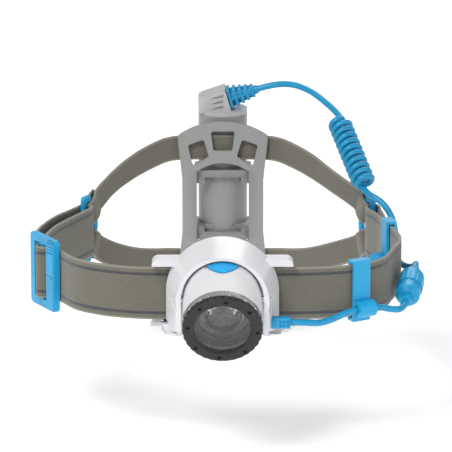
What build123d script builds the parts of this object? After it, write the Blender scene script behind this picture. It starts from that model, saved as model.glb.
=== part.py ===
"""Sport head lamp: tilting lamp head, elastic head band, rear battery cradle and curly cord.

Millimetres. +Z up, the lamp faces -Y, and +X is the side with the cord. The origin is the centre
of the space for the head, at mid height of the front band.
"""
from build123d import *
from math import cos, sin, tan, radians, pi
import os

os.makedirs("parts", exist_ok=True)

# ---- driving dimensions -------------------------------------------------------------------
band_width = 25.0          # wide elastic of the front and sides
band_thickness = 1.3
rear_band_width = 12.5     # narrow elastic of the two rear straps
rear_band_thickness = 1.1
front_y = -81.0            # centre of the front band's thickness
wall = 1.8                 # wall of the lamp head

pivot_y = -99.0            # tilt axis, parallel to X
pivot_z = 2.5
head_tilt = 22.0           # how far the lamp looks down at rest
head_radius = 18.0
drum_radius = 14.1         # rear of the head, round the tilt axis
drum_side = 37.0           # degrees behind the top at which the drum starts
shell_front = 17.0         # distances along the lamp's axis from the tilt axis
ring_front = 20.6
bezel_back = 20.75
bezel_front = 23.0
bezel_radius = 18.3
bezel_opening = 13.7
lens_radius = 10.75

yoke_inner = 19.0
yoke_outer = 26.0
yoke_front_y = -103.0
base_front_y = -84.6
base_back_y = -82.7
bracket_half_x = 32.5
bracket_half_z = 17.6
bar_height = 3.5

cord_diameter = 3.1
coil_diameter = 12.0

cradle_y = 77.6            # front face of the cradle's frame
cradle_thickness = 2.0
rear_strap_y = 80.95       # centre of the rear straps' thickness behind the cradle
case_y = 94.5              # axis of the battery case
case_radius = 12.15
case_bottom = -46.0
case_top = 47.0

lamp = Plane(
    origin=(0, pivot_y, pivot_z),
    x_dir=(1, 0, 0),
    z_dir=(0, -cos(radians(head_tilt)), -sin(radians(head_tilt))),
)


def along_lamp(distance):
    """The plane across the lamp's axis at a distance in front of the tilt axis."""
    return lamp.offset(distance)


def save(piece, name):
    """Label one finished piece and write it."""
    piece.part.label = name
    export_step(piece.part, f"parts/{name}.step")


# ---- routes of bands and cords ----------------------------------------------------------------
def corner_radii(points, share=0.45):
    """The largest arc that each corner's two runs leave room for."""
    radii = []
    for before, corner, after in zip(points, points[1:], points[2:]):
        run_in = Vector(*corner) - Vector(*before)
        run_out = Vector(*after) - Vector(*corner)
        half_turn = radians(run_in.get_angle(run_out)) / 2
        radii.append(share * min(run_in.length, run_out.length) / tan(half_turn))
    return radii


def cord_tube(points, name):
    """A plain tube along a free stretch of cord; prints its arcs and checks its volume."""
    radii = corner_radii(points)
    with BuildPart() as tube:
        with BuildLine() as route:
            FilletPolyline(*points, radius=radii)
        start = Plane(origin=route.line @ 0, z_dir=route.line % 0)
        with BuildSketch(start):
            Circle(cord_diameter / 2)
        sweep(path=route.line)
    section = pi * cord_diameter ** 2 / 4
    length = sum(edge.length for edge in route.edges())
    ratio = tube.part.volume / (section * length)
    print(f"{name}: length {length:.0f} mm, radii {[round(r) for r in radii]},",
          f"volume / (section x length) {ratio:.3f}")
    return tube


def band(points, width, thickness):
    """Flat webbing on edge, swept along a route in plan."""
    flat = [(x, y, 0) for x, y in points]
    with BuildPart() as strip:
        with BuildLine() as route:
            FilletPolyline(*flat, radius=corner_radii(flat))
        start = Plane(origin=route.line @ 0, x_dir=(0, 0, 1), z_dir=route.line % 0)
        with BuildSketch(start):
            Rectangle(width, thickness)
        sweep(path=route.line)
    return strip


# The buckle on the left: a frame that stands on the band, seen from outside.
adjuster_length = 24.8
adjuster_height = 34.6
adjuster_thickness = 2.4
adjuster_front = Vector(-77.0, -54.0, 0)
adjuster_way = Vector(-12.3, 21.5, 0).normalized()
adjuster_out = Vector(adjuster_way.Y * -1, adjuster_way.X, 0)


def by_adjuster(along, outward):
    """A place in plan, measured along the buckle from its front end and outward from its middle."""
    spot = adjuster_front + adjuster_way * along + adjuster_out * outward
    return (spot.X, spot.Y)


main_band_route = [
    (76.7, 3.5), (76.1, 12.0), (72.4, 21.0), (69.9, 27.0), (69.6, 33.9), (75.6, 33.9), (76.0, 26.0),
    (77.7, 12.0), (79.0, -2.0), (85.3, -27.5), (79.2, -47.0), (76.0, -61.0), (70.0, -70.0),
    (59.0, -76.8), (46.0, -80.0), (31.0, front_y), (-31.0, front_y), (-45.0, -78.8),
    (-57.0, -74.0), (-68.0, -66.0), by_adjuster(0, -2.7), by_adjuster(8.0, -2.8),
    by_adjuster(12.5, 3.1), by_adjuster(15.7, 3.1), by_adjuster(20.8, -2.8),
    by_adjuster(26.5, -2.7), (-89.2, -17.0), (-82.2, 9.0), (-71.2, 27.8), (-68.4, 34.3),
    (-62.6, 31.6), (-64.4, 25.8), (-72.5, 10.0), (-79.8, -6.0), (-83.4, -21.0),
    by_adjuster(24.0, -5.4), by_adjuster(19.0, -3.6), by_adjuster(14.0, -2.3),
]
main_strap = band(main_band_route, band_width, band_thickness)
save(main_strap, "main_strap")

# ---- rings that join the wide band to the rear straps ---------------------------------------
ring_bar = 2.8
ring_thickness = 2.0
ring_half = 15.2           # half height, to the middle of the bar
ring_shoulder = 4.4        # where the slanted sides start, behind the upright bar
ring_depth = 12.0
ring_nose = 1.2
ring_height = 0.0
ring_rearward = Vector(0.41, 0.912, 0).normalized()
ring_middle = (70.05, 30.6)
ring_shift = 2.65          # the band hangs further out on the right


def ring_place(side):
    """The middle of the upright bar; side is -1 for left and 1 for right."""
    return Vector(side * ring_middle[0] + ring_shift, ring_middle[1], ring_height)


def by_ring(side, rearward, height):
    """A place on the ring's own plane, measured back from the bar and up from its middle."""
    place = ring_place(side)
    return Vector(place.X - side * ring_rearward.X * rearward, place.Y + ring_rearward.Y * rearward,
                  place.Z + height)


def ring(side):
    """An upright bar for the wide band and two slanted sides for the rear straps."""
    plane = Plane(origin=ring_place(side), x_dir=(-side * ring_rearward.X, ring_rearward.Y, 0),
                  z_dir=(-ring_rearward.Y, -side * ring_rearward.X, 0))
    corners = [(0, -ring_half), (0, ring_half), (ring_shoulder, ring_half), (ring_depth, ring_nose),
               (ring_depth, -ring_nose), (ring_shoulder, -ring_half)]
    with BuildPart() as body:
        with BuildSketch(plane):
            Polygon(*corners, align=None)
            offset(amount=ring_bar / 2)
        extrude(amount=ring_thickness / 2, both=True)
        with BuildSketch(plane):
            Polygon(*corners, align=None)
            offset(amount=-ring_bar / 2)
        extrude(amount=ring_thickness, both=True, mode=Mode.SUBTRACT)
    return body


ring_left = ring(-1)
save(ring_left, "ring_left")
ring_right = ring(1)
save(ring_right, "ring_right")

# ---- rear straps ------------------------------------------------------------------------------
strap_start = 4.8          # from the middle of a ring's slanted side to the strap's end
strap_inner = 0.8          # how near to mid height a strap's inner edge comes at the ring
inner_end = by_ring(-1, ring_shoulder + strap_start, 0)
ring_end = by_ring(-1, 16.5, 0)
rear_half_plan = [(inner_end.X, inner_end.Y), (ring_end.X, ring_end.Y), (-53.5, 53.5),
                  (-43.5, 63.7), (-34.5, 73.0), (-27.0, 80.4), (-17.0, rear_strap_y)]
# where the middle of the upper strap runs: distance from the middle plane, height, and how much
# further than half its width it reaches up and down because it climbs
rear_rise = [(53.5, 18.8, 0.65), (43.5, 24.2, 0.25), (32.5, 27.6, 0.05), (21.0, 29.2, 0.0)]


def rear_strap(side):
    """One narrow strap from ring to ring; side is 1 for the upper and -1 for the lower."""
    right_end = by_ring(1, ring_shoulder + strap_start, 0)
    ring_tail = by_ring(1, 16.5, 0)
    plan = rear_half_plan + [(-x, y) for x, y in rear_half_plan[:1:-1]]
    plan = plan + [(ring_tail.X, ring_tail.Y), (right_end.X, right_end.Y)]
    tall = band(plan, 90, rear_band_thickness)
    half = rear_band_width / 2
    top = [(x, side * z + half + more) for x, z, more in rear_rise]
    low = [(x, side * z - half - more) for x, z, more in rear_rise]
    outer_left = by_ring(-1, ring_shoulder + strap_start, ring_half - 0.6)
    inner_left = by_ring(-1, ring_depth - 1.4 + strap_start, strap_inner)
    outer_right = by_ring(1, ring_shoulder + strap_start, ring_half - 0.6)
    inner_right = by_ring(1, ring_depth - 1.4 + strap_start, strap_inner)
    edge_far = [(-x, z) for x, z in (top if side > 0 else low)]
    edge_far = edge_far + [(-x, z) for x, z in edge_far[::-1]]
    edge_near = [(-x, z) for x, z in (low if side > 0 else top)]
    edge_near = edge_near + [(-x, z) for x, z in edge_near[::-1]]
    outline = [(outer_left.X, side * outer_left.Z)] + edge_far + [(outer_right.X, side * outer_right.Z)]
    outline = outline + [(inner_right.X, side * inner_right.Z)] + edge_near[::-1]
    outline = outline + [(inner_left.X, side * inner_left.Z)]
    with BuildPart() as strip:
        add(tall.part)
        with BuildSketch(Plane.XZ.offset(-100)):
            Polygon(*outline, align=None)
        extrude(amount=80, mode=Mode.INTERSECT)
    return strip


rear_strap_upper = rear_strap(1)
save(rear_strap_upper, "rear_strap_upper")
rear_strap_lower = rear_strap(-1)
save(rear_strap_lower, "rear_strap_lower")

# ---- band adjuster ----------------------------------------------------------------------------
adjuster_plane = Plane(origin=adjuster_front, x_dir=adjuster_way, z_dir=adjuster_out)
with BuildPart() as adjuster:
    with BuildSketch(adjuster_plane):
        with Locations((adjuster_length / 2, 0)):
            RectangleRounded(adjuster_length, adjuster_height, 2.4)
        with Locations((10.0, 0)):
            RectangleRounded(5.2, band_width + 2.0, 0.8, mode=Mode.SUBTRACT)
        with Locations((18.1, 0)):
            RectangleRounded(5.6, band_width + 2.0, 0.8, mode=Mode.SUBTRACT)
    extrude(amount=adjuster_thickness / 2, both=True)
    with BuildSketch(adjuster_plane.offset(adjuster_thickness / 2)):
        with Locations((4.0, 0)):
            RectangleRounded(7.0, adjuster_height - 1.0, 1.5)
    extrude(amount=1.1, taper=20)
    # grip grooves at the lower end, a joint line at mid height and a mould mark
    with BuildSketch(adjuster_plane.offset(adjuster_thickness / 2 + 0.7)):
        with Locations(*[(4.0, -adjuster_height / 2 + 1.6 + 1.5 * step) for step in range(4)]):
            Rectangle(8.0, 0.6)
        with Locations((4.0, 0)):
            Rectangle(8.0, 0.3)
        with Locations((2.6, 1.3)):
            Circle(0.5)
    extrude(amount=1.0, mode=Mode.SUBTRACT)
save(adjuster, "adjuster")

# ---- front bracket: wings round the band and the yoke that carries the lamp -----------------
yoke_depth = base_back_y - yoke_front_y
yoke_taper = 13
leg_bottom = -16.6
with BuildPart() as front_bracket:
    # frame round the band
    with BuildSketch(Plane.XZ.offset(77.6)):
        RectangleRounded(2 * bracket_half_x, 2 * bracket_half_z, 4.0)
        Rectangle(2 * (bracket_half_x - 4.4), 2 * (bracket_half_z - bar_height), mode=Mode.SUBTRACT)
    extrude(amount=2.0)
    with BuildSketch(Plane.XZ.offset(77.6)) as upper_bar:
        with Locations((0, bracket_half_z - bar_height / 2)):
            Rectangle(2 * bracket_half_x, bar_height)
        fillet(upper_bar.vertices().group_by(Axis.Y)[-1], bar_height - 0.3)
    extrude(amount=8.4)
    # the lower bar runs out in two fins that slope down to the legs
    with BuildSketch(Plane.XZ.offset(77.6)) as lower_bar:
        with BuildLine():
            Polyline((0, -14.1), (33.8, -14.1), (33.0, -15.8), (27.0, -18.0), (21.0, -19.0), (0, -19.0),
                     close=True)
        make_face()
        mirror(about=Plane.YZ)
        fillet(lower_bar.vertices().sort_by(Axis.X)[:2] + lower_bar.vertices().sort_by(Axis.X)[-2:], 0.8)
    extrude(amount=8.4)
    # yoke, standing on its base plate
    with BuildSketch(Plane.XZ.offset(-base_back_y)):
        with Locations((0, pivot_z - 0.8)):
            Circle(yoke_outer)
        with Locations((0, leg_bottom / 2)):
            Rectangle(2 * yoke_outer, -leg_bottom + 4)
        with Locations((0, leg_bottom - 20)):
            Rectangle(80, 40, mode=Mode.SUBTRACT)
    extrude(amount=yoke_depth, taper=yoke_taper)
    # room for the head
    with BuildSketch(Plane.XZ.offset(-base_front_y)):
        with Locations((0, pivot_z)):
            Circle(yoke_inner)
        with Locations((0, pivot_z - 20)):
            Rectangle(2 * yoke_inner, 40)
    extrude(amount=30, mode=Mode.SUBTRACT)
    # slanted feet of the two legs
    with BuildSketch(Plane.XZ.offset(-base_back_y)):
        for side in (1, -1):
            with BuildLine():
                Polyline((side * 28, -9), (side * 28, -18), (side * 21, -18), (side * 21.4, leg_bottom),
                         (side * 25.9, -11.5), close=True)
            make_face()
    extrude(amount=30, mode=Mode.SUBTRACT)
    # bores for the pivot pins, right through the legs
    with BuildSketch(Plane.YZ):
        with Locations((pivot_y, pivot_z)):
            Circle(1.5)
    extrude(amount=40, both=True, mode=Mode.SUBTRACT)
save(front_bracket, "front_bracket")

with BuildPart() as forehead_pad:
    with BuildSketch(Plane.XZ.offset(74.0)):
        RectangleRounded(2 * bracket_half_x - 3, 2 * bracket_half_z - 2, 5)
    extrude(amount=3.5)
save(forehead_pad, "forehead_pad")

with BuildPart() as pivot_pins:
    for side in (1, -1):
        with BuildSketch(Plane.YZ.offset(side * 16.6)):
            with Locations((pivot_y, pivot_z)):
                Circle(1.45)
        extrude(amount=side * 5.6)
save(pivot_pins, "pivot_pins")

boot_z = -9.3
boot_y = -96.5
with BuildPart() as lamp_cable_boot:
    with BuildSketch(Plane.YZ.offset(21.5)):
        with Locations((boot_y, boot_z)):
            RectangleRounded(5.4, 5.4, 1.7)
    extrude(amount=9.5)
    # three rows of small notches on the front and on the top
    for step in range(3):
        with BuildSketch(Plane.YZ.offset(26.0 + 1.75 * step)):
            for side in (1, -1):
                with Locations((boot_y - 2.7, boot_z + 0.85 * side), (boot_y + 0.85 * side, boot_z + 2.7)):
                    Rectangle(1.1, 1.1)
        extrude(amount=0.85, mode=Mode.SUBTRACT)
    # it sits on the slanted side of the yoke's leg
    add(front_bracket.part, mode=Mode.SUBTRACT)
save(lamp_cable_boot, "lamp_cable_boot")

# ---- lamp head -------------------------------------------------------------------------------
side_view = Plane(origin=lamp.origin, x_dir=lamp.z_dir, z_dir=(1, 0, 0))
lamp_axis = Axis(lamp.origin, lamp.z_dir)


def head_form(radius, drum, front, inset=0.0):
    """The head's outer or inner form: a cylinder forward, a ball behind, cut back to a drum."""
    reach = 40
    shift_x = inset * cos(radians(drum_side))
    shift_y = -inset * sin(radians(drum_side))
    top_x = shift_x - reach * sin(radians(drum_side))
    top_y = shift_y - reach * cos(radians(drum_side))
    with BuildPart(lamp) as form:
        with BuildSketch(lamp):
            Circle(radius)
        extrude(amount=front)
        Sphere(radius)
        with BuildSketch(side_view):
            with BuildLine():
                Polyline((shift_x, shift_y), (top_x, top_y), (-reach, -reach), (-reach, reach),
                         (5 + inset, reach), (5 + inset, shift_y), close=True)
            make_face()
            Circle(drum, mode=Mode.SUBTRACT)
        extrude(amount=30, both=True, mode=Mode.SUBTRACT)
    return form


def slab(low, high):
    """Everything between two distances along the lamp's axis."""
    with BuildPart() as piece:
        with BuildSketch(along_lamp(low)):
            Circle(40)
        extrude(amount=high - low)
    return piece


outer_form = head_form(head_radius, drum_radius, shell_front)
inner_form = head_form(head_radius - wall, drum_radius - wall, shell_front + 1, wall)
seam = -6.9
seam_gap = 0.4
screw_x = 11.0
switch_middle = -1.3       # along the lamp's axis
button_back = -3.4         # where the button's two tips lie
button_half = 7.1
button_bow = 1.1           # bow of its rear edge
button_reach = 6.9         # bow of its front edge
button_gap = 0.25
over_lamp = Plane(origin=lamp.origin, x_dir=(1, 0, 0), z_dir=lamp.y_dir)


def button_prism(margin, low, high):
    """The button's outline, two bows that meet in two tips, upright between two heights."""
    tip = button_half + margin
    front = -button_back - button_reach - margin
    flank = front + 0.34 * (button_reach + margin)
    with BuildPart() as block:
        with BuildSketch(over_lamp.offset(low)):
            with BuildLine():
                ThreePointArc((-tip, -button_back), (0, -button_back + button_bow + margin),
                              (tip, -button_back))
                Spline((tip, -button_back), (0.6 * tip, flank), (0, front), (-0.6 * tip, flank),
                       (-tip, -button_back))
            make_face()
        extrude(amount=high - low)
    return block


button_opening = button_prism(button_gap, 8, 22)
button_top = button_prism(0, 13.6, 22)
button_lip = button_prism(0.45, 12.9, 13.9)
recess_margin = 1.6
recess_floor = head_form(head_radius - 0.45, drum_radius - 0.45, shell_front)
recess_block = button_prism(recess_margin, 10, 22)
with BuildPart() as button_recess:
    add(recess_block.part)
    add(recess_floor.part, mode=Mode.SUBTRACT)

with BuildPart() as head_shell:
    add(outer_form.part)
    add(inner_form.part, mode=Mode.SUBTRACT)
    for side in (1, -1):
        with BuildSketch(along_lamp(seam + seam_gap)):
            with Locations((side * screw_x, 0)):
                Circle(2.2)
            with Locations((side * (screw_x + 2.7), 0)):
                Rectangle(5.4, 2.0)
        extrude(amount=5.1)
    add(slab(seam + seam_gap, shell_front + 1).part, mode=Mode.INTERSECT)
    with BuildSketch(along_lamp(seam)):
        with Locations((screw_x, 0), (-screw_x, 0)):
            Circle(1.05)
    extrude(amount=4.9, mode=Mode.SUBTRACT)
    add(button_recess.part, mode=Mode.SUBTRACT)
    add(button_opening.part, mode=Mode.SUBTRACT)
    for side in (1, -1):
        with BuildSketch(Plane.YZ.offset(side * 15.9)):
            with Locations((pivot_y, pivot_z)):
                Circle(1.5)
        extrude(amount=side * 4, mode=Mode.SUBTRACT)
save(head_shell, "head_shell")

with BuildPart() as rear_cover:
    add(outer_form.part)
    add(inner_form.part, mode=Mode.SUBTRACT)
    with BuildSketch(along_lamp(-13.0)):
        with Locations((screw_x, 0), (-screw_x, 0)):
            Circle(2.6)
    extrude(amount=4.1)
    add(slab(-20, seam - seam_gap).part, mode=Mode.INTERSECT)
    with BuildSketch(along_lamp(-20)):
        with Locations((screw_x, 0), (-screw_x, 0)):
            Circle(1.05)
    extrude(amount=18, mode=Mode.SUBTRACT)
    with BuildSketch(along_lamp(-20)):
        with Locations((screw_x, 0), (-screw_x, 0)):
            Circle(2.0)
    extrude(amount=8.0, mode=Mode.SUBTRACT)
save(rear_cover, "rear_cover")

seal_outer = head_form(head_radius - 0.5, drum_radius - 0.5, shell_front)
with BuildPart() as shell_seal:
    add(seal_outer.part)
    add(inner_form.part, mode=Mode.SUBTRACT)
    add(slab(seam - seam_gap, seam + seam_gap).part, mode=Mode.INTERSECT)
save(shell_seal, "shell_seal")

with BuildPart() as cover_screws:
    with BuildSketch(along_lamp(-12.0)):
        with Locations((screw_x, 0), (-screw_x, 0)):
            Circle(1.0)
    extrude(amount=8.0)
    with BuildSketch(along_lamp(-12.0)):
        with Locations((screw_x, 0), (-screw_x, 0)):
            Circle(1.9)
    extrude(amount=-1.2)
    with BuildSketch(along_lamp(-13.2)):
        with Locations((screw_x, 0), (-screw_x, 0)):
            Rectangle(2.2, 0.6)
            Rectangle(0.6, 2.2)
    extrude(amount=0.6, mode=Mode.SUBTRACT)
save(cover_screws, "cover_screws")

ring_marks = 20
with BuildPart() as scale_ring:
    with BuildSketch(along_lamp(shell_front + 0.05)):
        Circle(head_radius)
        Circle(16.3, mode=Mode.SUBTRACT)
    extrude(amount=ring_front - shell_front - 0.05)
    with BuildSketch(along_lamp(shell_front + 0.55)):
        with PolarLocations(head_radius - 0.2, ring_marks, start_angle=90):
            Rectangle(1.1, 2.7)
    extrude(amount=2.5)
save(scale_ring, "scale_ring")

with BuildPart() as heat_sink:
    with BuildSketch(along_lamp(7.0)):
        Circle(15.9)
    extrude(amount=1.2)
    with BuildSketch(along_lamp(4.2)):
        with Locations(*[(0, 2.6 * step) for step in range(-3, 4)]):
            Rectangle(16, 1.0)
    extrude(amount=2.8)
save(heat_sink, "heat_sink")

with BuildPart() as led_board:
    with BuildSketch(along_lamp(8.2)):
        Circle(9.0)
    extrude(amount=1.0)
save(led_board, "led_board")

with BuildPart() as led_chip:
    with BuildSketch(along_lamp(9.2)):
        Rectangle(3.4, 3.4)
    extrude(amount=0.4)
    with BuildSketch(along_lamp(9.6)):
        Circle(1.4)
    extrude(amount=0.4)
save(led_chip, "led_chip")

with BuildPart() as driver_board:
    with BuildSketch(along_lamp(-0.6)):
        with Locations((0, -1.25)):
            RectangleRounded(15.6, 19.5, 1.5)
    extrude(amount=1.2)
    with BuildSketch(along_lamp(-0.6)):
        with Locations((-4, -6)):
            Rectangle(5, 5)
        with Locations((3.5, 2)):
            Circle(2.4)
        with Locations((4.2, -6)):
            Rectangle(3.4, 2.0)
    extrude(amount=-2.4)
save(driver_board, "driver_board")

with BuildPart() as tact_switch:
    with BuildSketch(over_lamp.offset(8.5)):
        with Locations((0, -switch_middle)):
            RectangleRounded(6, 6, 0.5)
    extrude(amount=2.6)
    with BuildSketch(over_lamp.offset(11.1)):
        with Locations((0, -switch_middle)):
            Circle(1.5)
    extrude(amount=0.9)
save(tact_switch, "tact_switch")

button_form = head_form(head_radius + 0.2, drum_radius, shell_front)
with BuildPart() as power_button:
    add(button_top.part)
    add(button_form.part, mode=Mode.INTERSECT)
    # the lip under the shell keeps it in
    add(button_lip.part)
save(power_button, "power_button")

# ---- focusing front ---------------------------------------------------------------------------
scallops = 32
dimples = 8
with BuildPart() as focus_bezel:
    with BuildSketch(along_lamp(bezel_back)):
        Circle(bezel_radius)
    extrude(amount=bezel_front - bezel_back)
    chamfer(focus_bezel.faces().sort_by(lamp_axis)[-1].edges(), 0.6)
    with BuildSketch(along_lamp(bezel_back - 1)):
        with PolarLocations(bezel_radius + 0.55, scallops):
            Circle(1.15)
    extrude(amount=6, mode=Mode.SUBTRACT)
    with BuildSketch(along_lamp(bezel_front - 0.6)):
        with PolarLocations(15.9, dimples, start_angle=85):
            Circle(1.0)
    extrude(amount=2, mode=Mode.SUBTRACT)
    with BuildSketch(along_lamp(17.6)):
        Circle(16.0)
    extrude(amount=bezel_back - 17.6)
    with BuildSketch(along_lamp(17)):
        Circle(14.8)
    extrude(amount=22.1 - 17, mode=Mode.SUBTRACT)
    # the opening narrows from the front to the glass
    with BuildSketch(along_lamp(22.0)):
        Circle(bezel_opening - 1.0)
    with BuildSketch(along_lamp(bezel_front)):
        Circle(bezel_opening + 0.2)
    loft(mode=Mode.SUBTRACT)
save(focus_bezel, "focus_bezel")

with BuildPart() as front_glass:
    with BuildSketch(along_lamp(20.9)):
        Circle(14.75)
    extrude(amount=1.2)
save(front_glass, "front_glass")

with BuildPart() as glass_gasket:
    with BuildSketch(along_lamp(20.2)):
        Circle(14.75)
        Circle(13.5, mode=Mode.SUBTRACT)
    extrude(amount=0.7)
save(glass_gasket, "glass_gasket")

side_profile = Plane(origin=lamp.origin, x_dir=lamp.y_dir, z_dir=(1, 0, 0))
dome_top = 16.3
dome_rise = dome_top - 14.9
dome_radius = (7.0 ** 2 + dome_rise ** 2) / (2 * dome_rise)    # a ball centred on the lamp's axis
with BuildPart() as tir_lens:
    with BuildSketch(side_profile):
        with BuildLine():
            Polyline((0, 12.9), (2.6, 12.6), (2.6, 10.3), (4.6, 10.3), (lens_radius, 15.0),
                     (lens_radius, 15.6), (7.7, 15.6), (7.0, 14.9))
            RadiusArc((7.0, 14.9), (0, dome_top), -dome_radius)
            Line((0, dome_top), (0, 12.9))
        make_face()
    revolve(axis=lamp_axis)
save(tir_lens, "tir_lens")

with BuildPart() as lens_carrier:
    with BuildSketch(side_profile):
        with BuildLine():
            Polyline((10.3, 14.4), (10.85, 14.9), (10.85, 15.9), (14.5, 15.9),
                     (14.5, 12.4), (13.0, 12.4), (13.0, 14.4), close=True)
        make_face()
    revolve(axis=lamp_axis)
save(lens_carrier, "lens_carrier")

# ---- rear cradle ------------------------------------------------------------------------------
cradle_plane = Plane.XZ.offset(-cradle_y)
shoulder = (22.4, 35.6)
waist = (20.1, 13.5)
collar_inner = case_radius + 0.15
collar_outer = collar_inner + 1.9
with BuildPart() as cradle:
    with BuildSketch(cradle_plane) as frame_outline:
        with BuildLine():
            ThreePointArc((-shoulder[0], shoulder[1]), (0, 42.8), shoulder)
            Polyline(shoulder, waist, (waist[0], -waist[1]), (shoulder[0], -shoulder[1]))
            ThreePointArc((shoulder[0], -shoulder[1]), (0, -42.8), (-shoulder[0], -shoulder[1]))
            Polyline((-shoulder[0], -shoulder[1]), (-waist[0], -waist[1]), (-waist[0], waist[1]),
                     (-shoulder[0], shoulder[1]))
        make_face()
        fillet(frame_outline.vertices(), 2.5)
    extrude(amount=-cradle_thickness)
    with BuildSketch(cradle_plane.offset(1)) as windows:
        with BuildLine():
            ThreePointArc((-12.9, 17.5), (0, 21.8), (12.9, 17.5))
            Line((12.9, 17.5), (12.9, -17.5))
            ThreePointArc((12.9, -17.5), (0, -21.8), (-12.9, -17.5))
            Line((-12.9, -17.5), (-12.9, 17.5))
        make_face()
        for up in (1, -1):
            with BuildLine():
                Polyline((-6.0, up * 38.0), (6.0, up * 38.0), (4.7, up * 28.0), (-4.7, up * 28.0), close=True)
            make_face()
            for side in (1, -1):
                with BuildLine():
                    Polyline((side * 17.3, up * 31.0), (side * 9.5, up * 33.8), (side * 6.9, up * 25.2),
                             (side * 14.8, up * 19.6), close=True)
                make_face()
        fillet(windows.vertices(), 1.2)
    extrude(amount=-cradle_thickness - 2, mode=Mode.SUBTRACT)
    # two collars grip the battery case behind the frame
    for low in (11.0, -17.6):
        with BuildSketch(Plane.XY.offset(low)):
            with Locations((0, case_y)):
                Circle(collar_outer)
            with Locations((0, (cradle_y + cradle_thickness + 88) / 2)):
                Rectangle(2 * collar_outer, 88 - cradle_y - cradle_thickness)
            with Locations((0, case_y)):
                Circle(collar_inner, mode=Mode.SUBTRACT)
            with Locations((0, 109)):
                Rectangle(40, 20, mode=Mode.SUBTRACT)
        extrude(amount=6.6)
    # each collar is cut open towards the head, so that it can spring
    for low in (11.0, -14.0):
        with BuildSketch(Plane.XY.offset(low)):
            with Locations((0, 79)):
                Rectangle(18, 8)
        extrude(amount=3.0, mode=Mode.SUBTRACT)
save(cradle, "cradle")

# ---- battery case -------------------------------------------------------------------------------
case_wall = 1.6
case_inner = case_radius - case_wall
hinge_y = 108.1
hinge_z = -47.4
with BuildPart() as battery_case:
    with BuildSketch(Plane.XY.offset(case_bottom)):
        with Locations((0, case_y)):
            Circle(case_radius)
            Circle(case_inner, mode=Mode.SUBTRACT)
    extrude(amount=case_top - case_bottom - 3)
    for side in (1, -1):
        with BuildSketch(Plane.YZ.offset(side * 4)):
            with BuildLine():
                Polyline((105.6, -45.6), (106.9, -45.6), (106.9, hinge_z), (109.7, hinge_z), (109.7, -44.0),
                         (106.4, -40.0), (105.6, -40.0), close=True)
            make_face()
            with Locations((hinge_y, hinge_z)):
                Circle(1.6)
                Circle(0.8, mode=Mode.SUBTRACT)
        extrude(amount=side * 3)
    with BuildSketch(Plane.XZ.offset(-case_y)):
        with Locations((0, 36)):
            RectangleRounded(10.2, 8.2, 1.5)
    extrude(amount=-20, mode=Mode.SUBTRACT)
save(battery_case, "battery_case")

boot_slope = radians(17)
boot_way = Vector(cos(boot_slope), 0, sin(boot_slope))
boot_foot = Vector(2.6, 93.5, 51.4)
cap_split = case_top - 3
with BuildPart() as case_cap:
    with BuildSketch(Plane.XY.offset(cap_split + 0.05)):
        with Locations((0, case_y)):
            Circle(case_radius)
    extrude(amount=2.0)
    with BuildSketch(Plane.XZ.offset(-(case_y + 8.5))):
        with BuildLine():
            Polyline((-case_radius, cap_split + 1), (-case_radius, 52.0), (1.02, 56.56), (4.18, 46.24),
                     (4.18, cap_split + 1), close=True)
        make_face()
    extrude(amount=17)
    edges_up = case_cap.edges().filter_by(Axis.Z).sort_by(Axis.X)[:2]
    fillet(edges_up, 3.0)
    with BuildSketch(Plane.XZ.offset(-(case_y - 9))):
        for step in range(3):
            height = 47.6 + 2.7 * step
            with BuildLine():
                Polyline((-6.0, height - 0.6), (0.2, height + 0.2), (0.2, height + 1.6), close=True)
            make_face()
    extrude(amount=-1.4, mode=Mode.SUBTRACT)
    with BuildSketch(Plane.XY.offset(cap_split - 1)):
        with Locations((-3.5, case_y)):
            Rectangle(12, 10)
    extrude(amount=7.5, mode=Mode.SUBTRACT)
save(case_cap, "case_cap")

with BuildPart() as cap_seal:
    with BuildSketch(Plane.XY.offset(cap_split - 1.0)):
        with Locations((0, case_y)):
            Circle(case_inner - 0.05)
            Circle(case_inner - 1.2, mode=Mode.SUBTRACT)
    extrude(amount=1.0)
save(cap_seal, "cap_seal")

cell_radius = 9.3
cell_bottom = -39.0
cell_top = 30.0
with BuildPart() as battery_cell:
    with BuildSketch(Plane.XY.offset(cell_bottom)):
        with Locations((0, case_y)):
            Circle(cell_radius)
    extrude(amount=cell_top - cell_bottom - 1.5)
    with BuildSketch(Plane.XY.offset(cell_top - 1.5)):
        with Locations((0, case_y)):
            Circle(3.0)
    extrude(amount=1.5)
save(battery_cell, "battery_cell")

with BuildPart() as contact_plate:
    with BuildSketch(Plane.XY.offset(cell_top + 0.05)):
        with Locations((0, case_y)):
            Circle(case_inner - 0.1)
    extrude(amount=1.2)
save(contact_plate, "contact_plate")

with BuildPart() as charge_board:
    with BuildSketch(Plane.XY.offset(cap_split + 1.0)):
        with Locations((-3.5, case_y)):
            Rectangle(11.6, 9.6)
    extrude(amount=1.2)
    with BuildSketch(Plane.XY.offset(cap_split + 2.2)):
        with Locations((-5.5, case_y), (0, case_y + 1)):
            Rectangle(3.6, 4.4)
    extrude(amount=1.6)
save(charge_board, "charge_board")

with BuildPart() as rear_light_lens:
    with BuildSketch(Plane.XZ.offset(-(case_y + case_inner + 0.3))):
        with Locations((0, 36)):
            RectangleRounded(10.0, 8.0, 1.4)
    extrude(amount=-(case_wall + 0.9))
    fillet(rear_light_lens.faces().sort_by(Axis.Y)[-1].edges(), 0.6)
save(rear_light_lens, "rear_light_lens")

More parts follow.
